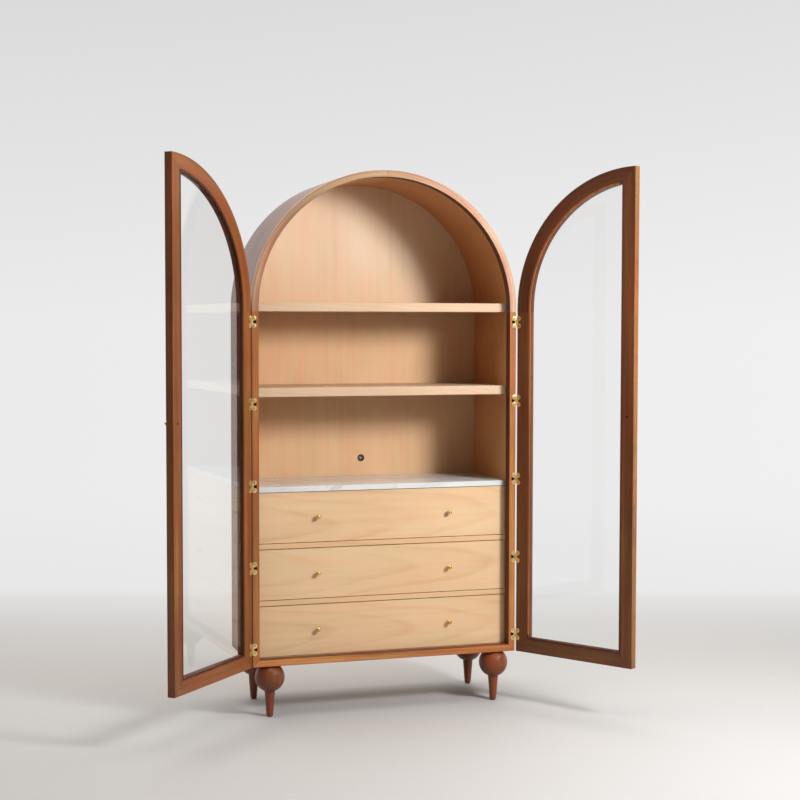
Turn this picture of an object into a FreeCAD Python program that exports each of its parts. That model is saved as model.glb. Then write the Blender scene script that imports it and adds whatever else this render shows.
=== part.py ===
import FreeCAD, Part
import math
import os

# An arched display cabinet on four turned legs, with two glazed half-arch doors, two shelves,
# a marble slab and three drawers. Millimetres. X runs along the width, +Y to the back and +Z up.
# The origin is on the floor, under the middle of the carcass's front face.

# Overall sizes
total_height = 2108.0
carcass_width = 1070.0
carcass_depth = 425.0
leg_height = 203.0

# Carcass boards
shell_thickness = 18.0
lining_thickness = 8.0
front_frame_depth = 42.0
bottom_board_thickness = 26.0
arch_joint_drop = 12.0
back_panel_thickness = 9.0
back_panel_recess = 3.0
back_panel_clearance = 1.0
bent_board_clearance = 0.3

# Cable hole in the back panel, above the marble slab
cable_hole_radius = 12.5
cable_hole_side = 10.0
cable_hole_rise = 72.0

# Shelves, on pegs with a flat top
shelf_thickness = 35.0
upper_shelf_drop = 11.0
lower_bay_share = 346.0
middle_bay_share = 293.0
shelf_setback = 2.0
shelf_end_clearance = 2.0
shelf_edge_round = 2.5
peg_radius = 3.0
peg_reach = 12.0
peg_inset = 50.0
peg_side_count = 8
peg_clearance = 0.05

# Marble slab and the deck board under it
slab_underside_level = 868.0
slab_thickness = 20.0
slab_corner_radius = 8.0
slab_end_clearance = 3.0
slab_overhang = 2.0
deck_thickness = 18.0

# Drawers
drawer_count = 3
drawer_reveal = 2.0
divider_height = 20.0
drawer_front_setback = 2.0
drawer_front_thickness = 18.0
drawer_side_thickness = 12.0
drawer_side_rise = 12.0
drawer_side_height = 150.0
drawer_rear_clearance = 15.0
drawer_bottom_thickness = 6.0
drawer_bottom_rise = 10.0
groove_depth = 5.0

# Drawer slides: a fixed channel on each lining, and a runner on each drawer side inside it
slide_width = 13.0
slide_height = 45.0
slide_rear_clearance = 19.0
slide_sheet = 1.5
slide_running_gap = 0.5
slide_side_gap = 2.0

# Knobs: a round base, a neck and a ball, turned with flat sides
knob_projection = 24.0
knob_ball_radius = 8.0
knob_neck_radius = 3.5
knob_base_radius = 6.0
knob_base_thickness = 1.5
knob_side_count = 12
knob_ring_count = 5
drawer_knob_spacing = 536.0
door_knob_level = 1165.0

# Legs: a cut ball over a tapered peg, turned with flat sides, a plate above and a glide below
leg_side_inset = 75.0
leg_front_inset = 45.0
leg_back_inset = 80.0
leg_ball_radius = 57.5
leg_top_radius = 34.5
leg_neck_radius = 20.5
leg_foot_radius = 13.0
leg_foot_bevel = 3.0
leg_side_count = 28
leg_ring_count = 9
leg_plate_size = 56.0
leg_plate_thickness = 3.0
glide_thickness = 3.0
glide_side_count = 16

# Doors, drawn closed: a mitred frame with the glass in a rebate that opens to the inside
door_gap = 5.0
door_thickness = 30.0
door_frame_width = 60.0
meeting_stile_width = 57.0
meeting_gap = 3.0
rebate_width = 8.0
rebate_depth = 12.0
glass_thickness = 5.0
glass_clearance = 1.0
bead_clearance = 0.2
left_rest_angle = 132.2
right_rest_angle = 123.7

# Butterfly hinges: each leaf has two round petals with a notch between them
hinge_count = 5
top_hinge_drop = 51.0
bottom_hinge_rise = 69.0
hinge_outset = 1.5
leaf_thickness = 1.5
leaf_inset = 0.5
petal_radius = 10.0
petal_side_count = 12
petal_reach = 8.5
petal_rise = 14.5
notch_reach = 5.5
barrel_radius = 2.5
barrel_length = 24.0
barrel_side_count = 8
barrel_clearance = 0.3
middle_knuckle_length = 8.4
knuckle_gap = 0.3
pin_radius = 1.2
pin_running_fit = 0.05
pin_tight_fit = 0.02

# How far a cutting shape runs past the solid that it cuts
overrun = 5.0

# Sizes worked out from the ones above
half_width = carcass_width / 2
spring_level = total_height - half_width
shell_inner = half_width - shell_thickness
lining_inner = shell_inner - lining_thickness
panel_front = carcass_depth - back_panel_recess - back_panel_thickness
floor_level = leg_height + bottom_board_thickness
arch_joint_level = spring_level - arch_joint_drop
shelf_front = front_frame_depth + shelf_setback
shelf_rear = panel_front - shelf_setback
upper_shelf_level = spring_level - upper_shelf_drop
slab_top = slab_underside_level + slab_thickness
two_bays = upper_shelf_level - slab_top - shelf_thickness
middle_shelf_level = slab_top + two_bays * lower_bay_share / (lower_bay_share + middle_bay_share)
cable_hole_level = slab_top + cable_hole_rise
drawer_face = front_frame_depth + drawer_front_setback
drawer_front_rear = drawer_face + drawer_front_thickness
drawer_box_rear = panel_front - drawer_rear_clearance
slide_start = drawer_front_rear + slide_side_gap
slide_end = panel_front - slide_rear_clearance
drawer_room = slab_underside_level - floor_level
drawer_gaps = (drawer_count - 1) * divider_height + 2 * drawer_count * drawer_reveal
drawer_front_height = (drawer_room - drawer_gaps) / drawer_count
drawer_pitch = drawer_front_height + 2 * drawer_reveal + divider_height
door_inner_face = -door_gap
door_outer_face = -door_gap - door_thickness
door_edge = meeting_gap / 2
opening_edge = door_edge + meeting_stile_width
opening_radius = half_width - door_frame_width
opening_bottom = leg_height + door_frame_width
hinge_x = half_width + hinge_outset
hinge_y = -door_gap / 2
bottom_hinge_level = leg_height + bottom_hinge_rise
hinge_run = spring_level - top_hinge_drop - bottom_hinge_level
hinge_levels = [bottom_hinge_level + hinge_run * n / (hinge_count - 1) for n in range(hinge_count)]

V = FreeCAD.Vector
SIDES = {"left": -1, "right": 1}
UP = V(0, 0, 1)
FORWARD = V(0, -1, 0)


def block(low, high):
    """A box between two corners."""
    size = V(*high).sub(V(*low))
    return Part.makeBox(size.x, size.y, size.z, V(*low))


def side_block(side, low, high):
    """A box given on the right side of the cabinet, and moved to the left one where side is -1."""
    x_low, x_high = sorted((side * low[0], side * high[0]))
    return block((x_low, *low[1:]), (x_high, *high[1:]))


def polygon(corners):
    """The flat face inside a run of corners."""
    return Part.Face(Part.makePolygon(corners + corners[:1]))


def prism(points, front, rear):
    """A straight-sided outline of (x, z) points, carried along Y from front to rear."""
    return polygon([V(x, front, z) for x, z in points]).extrude(V(0, rear - front, 0))


def ring(centre, along, radius, flats):
    """The corners of a regular polygon round an axis."""
    across = V(0, 0, 1) if along.x else V(1, 0, 0)
    beside = along.cross(across)
    angles = [math.tau * (k + 1 / 2) / flats for k in range(flats)]
    return [centre + (across * math.cos(a) + beside * math.sin(a)) * radius for a in angles]


def turned(profile, foot, along, flats):
    """A piece turned round an axis, from (radius, distance) points, with that many flat sides."""
    rings = [ring(foot + along * distance, along, radius, flats) for radius, distance in profile]
    faces = [polygon(rings[0]), polygon(rings[-1])]
    for lower, upper in zip(rings, rings[1:]):
        for k in range(flats):
            faces.append(polygon([lower[k - 1], lower[k], upper[k], upper[k - 1]]))
    return Part.Solid(Part.Shell(faces))


def bar(radius, start, end, flats):
    """A straight bar with flat sides, from one point to another. Its radius reaches its corners."""
    run = end - start
    return turned([(radius, 0), (radius, run.Length)], start, run / run.Length, flats)


def round_outside(radius, flats):
    """The corner radius of a flat-sided hole whose flats all stay outside a radius."""
    return radius / math.cos(math.pi / flats)


def ball_points(radius, level, start, end, steps):
    """(radius, distance) points down a ball's side, between two angles above its equator."""
    angles = [start + (end - start) * n / steps for n in range(steps + 1)]
    return [(radius * math.cos(a), level + radius * math.sin(a)) for a in angles]


def joined(first, *others):
    """One solid from several that meet, without seams."""
    return first.fuse(list(others)).removeSplitter()


def export(name, *shapes):
    """Writes one node, which may have several solids."""
    solids = [solid for shape in shapes for solid in shape.Solids]
    whole = solids[0] if len(solids) == 1 else Part.makeCompound(solids)
    whole.exportStep("parts/" + name + ".step")


# Arched outlines in the XZ plane


def arched_board(half, bottom, front, rear):
    """A board with straight sides and a half-round top, centred on the cabinet."""
    foot_left = V(-half, front, bottom)
    foot_right = V(half, front, bottom)
    spring_right = V(half, front, spring_level)
    spring_left = V(-half, front, spring_level)
    apex = V(0, front, spring_level + half)
    edges = [
        Part.makeLine(foot_left, foot_right),
        Part.makeLine(foot_right, spring_right),
        Part.Arc(spring_right, apex, spring_left).toShape(),
        Part.makeLine(spring_left, foot_left),
    ]
    return Part.Face(Part.Wire(edges)).extrude(V(0, rear - front, 0))


def bent_board(outer, inner, front, rear):
    """A half-round board between two radii, from one spring point over the top to the other."""
    ends = [V(x, front, spring_level) for x in (-outer, -inner, inner, outer)]
    edges = [
        Part.Arc(ends[0], V(0, front, spring_level + outer), ends[3]).toShape(),
        Part.makeLine(ends[3], ends[2]),
        Part.Arc(ends[2], V(0, front, spring_level + inner), ends[1]).toShape(),
        Part.makeLine(ends[1], ends[0]),
    ]
    return Part.Face(Part.Wire(edges)).extrude(V(0, rear - front, 0))


def half_arch_top(radius, edge):
    """The level at which a half arch meets a straight side at that distance from the middle."""
    return spring_level + math.sqrt(radius**2 - edge**2)


def half_arch_board(radius, edge, bottom, front, rear):
    """The left half of an arched board, out to its radius, with a straight right side at -edge."""
    middle_angle = (math.pi + math.acos(-edge / radius)) / 2
    crown_x = radius * math.cos(middle_angle)
    crown_z = spring_level + radius * math.sin(middle_angle)
    foot_outer = V(-radius, front, bottom)
    foot_inner = V(-edge, front, bottom)
    top_inner = V(-edge, front, half_arch_top(radius, edge))
    spring_outer = V(-radius, front, spring_level)
    edges = [
        Part.makeLine(foot_outer, foot_inner),
        Part.makeLine(foot_inner, top_inner),
        Part.Arc(top_inner, V(crown_x, front, crown_z), spring_outer).toShape(),
        Part.makeLine(spring_outer, foot_outer),
    ]
    return Part.Face(Part.Wire(edges)).extrude(V(0, rear - front, 0))


# Carcass


def make_sides():
    """The outer side boards, and the light linings inside them with holes for the shelf pegs."""
    for name, side in SIDES.items():
        board = side_block(
            side,
            (shell_inner, front_frame_depth, leg_height),
            (half_width, carcass_depth, spring_level),
        )
        lining = side_block(
            side,
            (lining_inner, front_frame_depth, floor_level),
            (shell_inner, panel_front, spring_level),
        )
        hole_radius = peg_radius + peg_clearance
        holes = [bar(hole_radius, seat, tip, peg_side_count) for seat, tip in peg_ends(side)]
        export(name + "_side_board", board)
        export(name + "_side_lining", lining.cut(holes))


def make_arch_boards():
    """The bent outer board over the top and the light lining under it."""
    lining_outer = shell_inner - bent_board_clearance
    export("arch_board", bent_board(half_width, shell_inner, front_frame_depth, carcass_depth))
    export("arch_lining", bent_board(lining_outer, lining_inner, front_frame_depth, panel_front))


def make_bottom_board():
    """The board that the drawers stand over, between the outer side boards."""
    low = (-shell_inner, front_frame_depth, leg_height)
    high = (shell_inner, panel_front, floor_level)
    export("bottom_board", block(low, high))


def make_back_panel():
    """The arched back panel, let in between the outer boards, with its cable hole."""
    half = shell_inner - back_panel_clearance
    rear = panel_front + back_panel_thickness
    start = V(cable_hole_side, panel_front - overrun, cable_hole_level)
    length = back_panel_thickness + 2 * overrun
    hole = Part.makeCylinder(cable_hole_radius, length, start, V(0, 1, 0))
    export("back_panel", arched_board(half, leg_height, panel_front, rear).cut(hole))


def make_front_frame():
    """The solid frame round the front: a mitred bottom rail, two stiles and two arch pieces."""
    front = -overrun
    rear = front_frame_depth + overrun
    frame = arched_board(half_width, leg_height, 0, front_frame_depth)
    frame = frame.cut(arched_board(lining_inner, floor_level, front, rear))
    rail_region = [
        (-half_width, leg_height),
        (-lining_inner, floor_level),
        (lining_inner, floor_level),
        (half_width, leg_height),
    ]
    export("bottom_front_rail", frame.common(prism(rail_region, front, rear)))
    for name, side in SIDES.items():
        stile_region = [
            (side * half_width, leg_height),
            (side * lining_inner, floor_level),
            (side * lining_inner, arch_joint_level),
            (side * half_width, arch_joint_level),
        ]
        arch_region = side_block(
            side,
            (0, front, arch_joint_level),
            (half_width + overrun, rear, total_height + overrun),
        )
        export(name + "_front_stile", frame.common(prism(stile_region, front, rear)))
        export(name + "_front_arch", frame.common(arch_region))


# Shelves, slab and dividers


def peg_ends(side):
    """Both ends of the axis of each shelf peg on one side, from the outer board into the room."""
    ends = []
    drop = peg_radius * math.cos(math.pi / peg_side_count)
    for level in (upper_shelf_level, middle_shelf_level):
        for y in (shelf_front + peg_inset, shelf_rear - peg_inset):
            seat = V(side * shell_inner, y, level - drop)
            tip = V(side * (lining_inner - peg_reach), y, level - drop)
            ends.append((seat, tip))
    return ends


def room_half(level):
    """Half the room's width at a level, which narrows above the spring of the arch."""
    rise = max(level - spring_level, 0)
    return math.sqrt(lining_inner**2 - rise**2)


def make_shelves():
    """Two thick shelves with rounded front edges, and the pegs that they lie on."""
    for name, level in (("upper_shelf", upper_shelf_level), ("middle_shelf", middle_shelf_level)):
        top = level + shelf_thickness
        half = room_half(top) - shelf_end_clearance
        board = block((-half, shelf_front, level), (half, shelf_rear, top))
        front_edges = [
            edge
            for edge in board.Edges
            if edge.CenterOfMass.y < shelf_front + shelf_edge_round and edge.Length > shelf_thickness
        ]
        export(name, board.makeFillet(shelf_edge_round, front_edges))
    pegs = [bar(peg_radius, *ends, peg_side_count) for side in SIDES.values() for ends in peg_ends(side)]
    export("shelf_pegs", *pegs)


def make_slab():
    """The marble slab, its front a little before the linings and its two front corners round."""
    half = lining_inner - slab_end_clearance
    front = front_frame_depth - slab_overhang
    slab = block((-half, front, slab_underside_level), (half, shelf_rear, slab_top))
    corners = [
        edge
        for edge in slab.Edges
        if edge.BoundBox.YMax < front + slab_corner_radius and edge.BoundBox.XLength < slab_corner_radius
    ]
    export("marble_slab", slab.makeFillet(slab_corner_radius, corners))


def make_deck():
    """The board under the slab, fixed between the linings behind the drawer fronts."""
    low = (-lining_inner, drawer_front_rear + drawer_reveal, slab_underside_level - deck_thickness)
    high = (lining_inner, panel_front, slab_underside_level)
    export("drawer_deck", block(low, high))


def make_dividers():
    """The rails between the drawer fronts, fixed between the linings."""
    rails = []
    for n in range(1, drawer_count):
        top = floor_level + n * drawer_pitch
        low = (-lining_inner, drawer_face, top - divider_height)
        rails.append(block(low, (lining_inner, drawer_front_rear, top)))
    export("divider_rails", *rails)


# Drawers


def drawer_low(n):
    """The lower edge of a drawer's front. Drawer 1 is at the top."""
    return floor_level + drawer_reveal + (drawer_count - n) * drawer_pitch


def slide_level(n):
    """The middle level of a drawer's slides."""
    return drawer_low(n) + drawer_side_rise + drawer_side_height / 2


def channel(side, back, lips, level, height):
    """A C-shaped slide member along Y, with its back at one X and its lips reaching to another."""
    towards_lips = math.copysign(1, lips - back)
    inner_back = back + towards_lips * slide_sheet
    past_lips = lips + towards_lips * overrun
    half = height / 2
    hollow_half = half - slide_sheet
    x_low, x_high = sorted((back, lips))
    hollow_low, hollow_high = sorted((inner_back, past_lips))
    body = side_block(
        side,
        (x_low, slide_start, level - half),
        (x_high, slide_end, level + half),
    )
    hollow = side_block(
        side,
        (hollow_low, slide_start - overrun, level - hollow_half),
        (hollow_high, slide_end + overrun, level + hollow_half),
    )
    return body.cut(hollow)


def make_slide_channels():
    """The fixed members of all the drawer slides, on the linings."""
    lips = lining_inner - slide_width + slide_sheet + slide_side_gap
    channels = [
        channel(side, lining_inner, lips, slide_level(n), slide_height)
        for n in range(1, drawer_count + 1)
        for side in SIDES.values()
    ]
    export("slide_channels", *channels)


def make_drawer(n):
    """One drawer: its front, its box with the bottom in grooves, its runners and its knobs."""
    low = drawer_low(n)
    front_half = lining_inner - drawer_reveal
    box_half = lining_inner - slide_width
    inside_half = box_half - drawer_side_thickness
    box_low = low + drawer_side_rise
    box_high = box_low + drawer_side_height
    back_front = drawer_box_rear - drawer_side_thickness
    bottom_low = box_low + drawer_bottom_rise
    bottom_high = bottom_low + drawer_bottom_thickness

    bottom = block(
        (-inside_half - groove_depth, drawer_front_rear - groove_depth, bottom_low),
        (inside_half + groove_depth, back_front + groove_depth, bottom_high),
    )
    front = block(
        (-front_half, drawer_face, low),
        (front_half, drawer_front_rear, low + drawer_front_height),
    )
    back = block((-inside_half, back_front, box_low), (inside_half, drawer_box_rear, box_high))
    side_low = (inside_half, drawer_front_rear, box_low)
    side_high = (box_half, drawer_box_rear, box_high)
    walls = [back] + [side_block(side, side_low, side_high) for side in SIDES.values()]
    lips = lining_inner - slide_sheet - slide_side_gap
    runner_height = slide_height - 2 * (slide_sheet + slide_running_gap)
    runners = [
        channel(side, box_half, lips, slide_level(n), runner_height) for side in SIDES.values()
    ]
    knobs = [
        knob(V(side * drawer_knob_spacing / 2, drawer_face, low + drawer_front_height / 2))
        for side in SIDES.values()
    ]
    name = "drawer_" + str(n)
    export(name + "_front", front.cut(bottom))
    export(name + "_box", bottom, *[wall.cut(bottom) for wall in walls])
    export(name + "_runners", *runners)
    export(name + "_knobs", *knobs)


def knob(spot):
    """A turned knob that stands forward from a board's face at a spot."""
    ball_level = knob_projection - knob_ball_radius
    neck_angle = -math.acos(knob_neck_radius / knob_ball_radius)
    tip_angle = math.pi / 2 - math.pi / knob_side_count
    neck_foot = knob_base_thickness + knob_base_radius - knob_neck_radius
    profile = [
        (knob_base_radius, 0),
        (knob_base_radius, knob_base_thickness),
        (knob_neck_radius, neck_foot),
    ]
    profile += ball_points(knob_ball_radius, ball_level, neck_angle, tip_angle, knob_ring_count)
    return turned(profile, spot, FORWARD, knob_side_count)


# Legs


def leg_spots():
    """The axis of each leg at floor level."""
    side_x = half_width - leg_side_inset
    back_y = carcass_depth - leg_back_inset
    return {
        "front_left_leg": V(-side_x, leg_front_inset, 0),
        "front_right_leg": V(side_x, leg_front_inset, 0),
        "back_left_leg": V(-side_x, back_y, 0),
        "back_right_leg": V(side_x, back_y, 0),
    }


def make_legs():
    """Four turned legs, the plates between them and the cabinet, and the glides under them."""
    top = leg_height - leg_plate_thickness
    top_angle = math.acos(leg_top_radius / leg_ball_radius)
    neck_angle = -math.acos(leg_neck_radius / leg_ball_radius)
    ball_level = top - leg_ball_radius * math.sin(top_angle)
    flat_radius = leg_foot_radius - leg_foot_bevel
    profile = [(flat_radius, glide_thickness), (leg_foot_radius, glide_thickness + leg_foot_bevel)]
    profile += ball_points(leg_ball_radius, ball_level, neck_angle, top_angle, leg_ring_count)
    half = leg_plate_size / 2
    plates = []
    glides = []
    for name, spot in leg_spots().items():
        export(name, turned(profile, spot, UP, leg_side_count))
        low = (spot.x - half, spot.y - half, top)
        plates.append(block(low, (spot.x + half, spot.y + half, leg_height)))
        glides.append(bar(flat_radius, spot, spot + UP * glide_thickness, glide_side_count))
    export("leg_plates", *plates)
    export("leg_glides", *glides)


# Doors and hinges


def opened(shape, side, angle):
    """A shape of the closed left door, taken to its own side and swung open by an angle."""
    placed = shape.copy() if side < 0 else shape.mirror(V(0, 0, 0), V(1, 0, 0))
    placed.rotate(V(side * hinge_x, hinge_y, 0), UP, side * angle)
    return placed


def door_regions(radius, edge, bottom):
    """The outline of each straight piece of a ring round the left door's opening, out to a board
    of these sizes, between the ring's mitres and its arch joint."""
    outer_foot = (-radius, bottom)
    inner_foot = (-opening_radius, opening_bottom)
    outer_toe = (-edge, bottom)
    inner_toe = (-opening_edge, opening_bottom)
    outer_top = (-edge, half_arch_top(radius, edge))
    inner_top = (-opening_edge, half_arch_top(opening_radius, opening_edge))
    outer_joint = (-radius, arch_joint_level)
    inner_joint = (-opening_radius, arch_joint_level)
    return {
        "bottom_rail": [outer_foot, inner_foot, inner_toe, outer_toe],
        "meeting_stile": [outer_toe, inner_toe, inner_top, outer_top],
        "hinge_stile": [outer_foot, inner_foot, inner_joint, outer_joint],
    }


def split(outline, radius, edge, bottom):
    """A ring round the opening cut into its straight pieces and, as what is left, its arch rail."""
    pieces = {}
    rest = outline
    for name, region in door_regions(radius, edge, bottom).items():
        mask = prism(region, door_outer_face - overrun, door_inner_face + overrun)
        pieces[name] = outline.common(mask)
        rest = rest.cut(mask)
    pieces["arch_rail"] = rest
    return pieces


def grown_opening(growth):
    """The radius, edge and bottom of the left door's opening, made larger all round by growth."""
    return opening_radius + growth, opening_edge - growth, opening_bottom - growth


def around_opening(growth, front, rear):
    """A board in the shape of the left door's opening, made larger all round by growth."""
    return half_arch_board(*grown_opening(growth), front, rear)


def make_door(hand, side, angle):
    """One glazed door, swung to the angle at which it stands open."""
    outside = (half_width, door_edge, leg_height)
    rebate_floor = door_inner_face - rebate_depth
    glass_rear = rebate_floor + glass_thickness
    before = door_outer_face - overrun
    behind = door_inner_face + overrun

    frame = half_arch_board(*outside, door_outer_face, door_inner_face)
    frame = frame.cut(around_opening(0, before, behind))
    frame = frame.cut(around_opening(rebate_width, rebate_floor, behind))
    glass = around_opening(rebate_width - glass_clearance, rebate_floor, glass_rear)
    bead_width = rebate_width - bead_clearance
    beads = around_opening(bead_width, glass_rear, door_inner_face)
    beads = beads.cut(around_opening(0, before, behind))
    knob_x = -door_edge - meeting_stile_width / 2

    pieces = {name: [piece] for name, piece in split(frame, *outside).items()}
    pieces["glass"] = [glass]
    pieces["glazing_beads"] = split(beads, *grown_opening(bead_width)).values()
    pieces["knob"] = [knob(V(knob_x, door_outer_face, door_knob_level))]
    pieces["hinge_leaves"] = at_every_hinge(door_leaf())
    for name, solids in pieces.items():
        export(hand + "_door_" + name, *[opened(solid, side, angle) for solid in solids])


def at_every_hinge(shape):
    """Copies of a shape that is drawn about the level zero, at the level of each hinge."""
    return [shape.translated(UP * level) for level in hinge_levels]


def hinge_bar(radius, low, high):
    """A flat-sided bar on the left hinge axis."""
    return bar(radius, V(-hinge_x, hinge_y, low), V(-hinge_x, hinge_y, high), barrel_side_count)


def hinge_hole(radius, low, high):
    """A cutting bar on the left hinge axis, whose flats all stay outside the radius."""
    return hinge_bar(round_outside(radius, barrel_side_count), low, high)


def leaf_plate(face, outward):
    """A left hinge leaf's plate on a wood face, with two petals and a notch between them."""
    start, end = sorted((face, face + outward * leaf_thickness))
    petal_x = petal_reach - hinge_x
    waist = barrel_length / 2
    web = [
        (-hinge_x, -waist),
        (-hinge_x, waist),
        (petal_x, petal_rise),
        (notch_reach - hinge_x, 0),
        (petal_x, -petal_rise),
    ]
    petals = [
        bar(petal_radius, V(petal_x, start, rise), V(petal_x, end, rise), petal_side_count)
        for rise in (-petal_rise, petal_rise)
    ]
    reach = petal_rise + petal_radius
    beyond = block(
        (-hinge_x - petal_radius, start - overrun, -reach),
        (leaf_inset - hinge_x, end + overrun, reach),
    )
    return joined(prism(web, start, end), *petals).cut(beyond)


def carcass_leaf():
    """The left hinge leaf on the carcass, with its upper and lower knuckles."""
    inner = middle_knuckle_length / 2 + knuckle_gap
    outer = barrel_length / 2
    plate = leaf_plate(0, -1).cut(hinge_hole(barrel_radius + barrel_clearance, -inner, inner))
    knuckles = [hinge_bar(barrel_radius, *ends) for ends in ((inner, outer), (-outer, -inner))]
    bore = hinge_hole(pin_radius + pin_tight_fit, -outer - overrun, outer + overrun)
    return joined(plate, *knuckles).cut(bore)


def door_leaf():
    """The hinge leaf on the closed left door, with the middle knuckle."""
    inner = middle_knuckle_length / 2
    outer = barrel_length / 2 + knuckle_gap
    room = barrel_radius + barrel_clearance
    rooms = [hinge_hole(room, *ends) for ends in ((inner, outer), (-outer, -inner))]
    plate = leaf_plate(door_inner_face, 1).cut(rooms)
    bore = hinge_hole(pin_radius + pin_running_fit, -inner - overrun, inner + overrun)
    return joined(plate, hinge_bar(barrel_radius, -inner, inner)).cut(bore)


def make_fixed_hinge_pieces():
    """The carcass's hinge leaves and the hinge pins, on both sides."""
    leaf = carcass_leaf()
    pin = hinge_bar(pin_radius, -barrel_length / 2, barrel_length / 2)
    for name, shape in (("carcass_hinge_leaves", leaf), ("hinge_pins", pin)):
        placed = at_every_hinge(shape)
        export(name, *[opened(piece, side, 0) for side in SIDES.values() for piece in placed])


os.makedirs("parts", exist_ok=True)
make_sides()
make_arch_boards()
make_bottom_board()
make_back_panel()
make_front_frame()
make_shelves()
make_slab()
make_deck()
make_dividers()
make_slide_channels()
for drawer_number in range(1, drawer_count + 1):
    make_drawer(drawer_number)
make_legs()
make_fixed_hinge_pieces()
make_door("left", SIDES["left"], left_rest_angle)
make_door("right", SIDES["right"], right_rest_angle)
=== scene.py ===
import math
import random

import bmesh
import bpy
from mathutils import Euler, Matrix, Vector


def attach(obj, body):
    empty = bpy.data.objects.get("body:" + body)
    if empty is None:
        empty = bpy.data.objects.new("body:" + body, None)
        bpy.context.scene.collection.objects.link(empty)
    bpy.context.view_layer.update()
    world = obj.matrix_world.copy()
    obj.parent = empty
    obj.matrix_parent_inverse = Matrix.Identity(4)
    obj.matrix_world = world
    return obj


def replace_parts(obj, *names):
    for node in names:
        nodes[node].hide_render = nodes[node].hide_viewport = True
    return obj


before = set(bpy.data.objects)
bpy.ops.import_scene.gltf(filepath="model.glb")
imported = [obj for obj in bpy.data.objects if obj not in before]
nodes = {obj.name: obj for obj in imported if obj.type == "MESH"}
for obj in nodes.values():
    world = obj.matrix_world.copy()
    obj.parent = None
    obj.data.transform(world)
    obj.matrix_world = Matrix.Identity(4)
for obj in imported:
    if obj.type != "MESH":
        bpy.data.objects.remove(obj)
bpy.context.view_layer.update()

scene = bpy.context.scene
scene.view_settings.view_transform = "Standard"

# Main places, in metres, in the same frame as the CAD
SPRING = 1.573  # the straight sides end here, and the half-round arch begins
ARC_RADIUS = 0.52  # the radius on which the bent boards' grain is measured
HINGE_X, HINGE_Y = 0.5365, -0.0025
HINGE_LEVELS = [0.272 + 0.3125 * n for n in range(5)]
DOOR_INNER, DOOR_OUTER = -0.005, -0.035  # the two faces of a closed door
SIDES = {"left": -1, "right": 1}
REST = {"left": math.radians(-132.2), "right": math.radians(123.7)}
DRAWER_LOWS = {1: 0.67033, 2: 0.45067, 3: 0.231}
DRAWER_HEIGHT = 0.19567
DRAWER_FACE = 0.044
SHELF_UNDERSIDES = (1.562, 1.234)
LEG_PLACES = {
    "front_left_leg": (-0.460, 0.045),
    "front_right_leg": (0.460, 0.045),
    "back_left_leg": (-0.460, 0.345),
    "back_right_leg": (0.460, 0.345),
}
UP, FRONTWARDS, BACKWARDS = (0, 0, 1), (0, -1, 0), (0, 1, 0)


def even(value):
    """The same number three times, for a grey or a scale."""
    return (value,) * 3


# ---------------------------------------------------------------- node graphs


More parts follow.
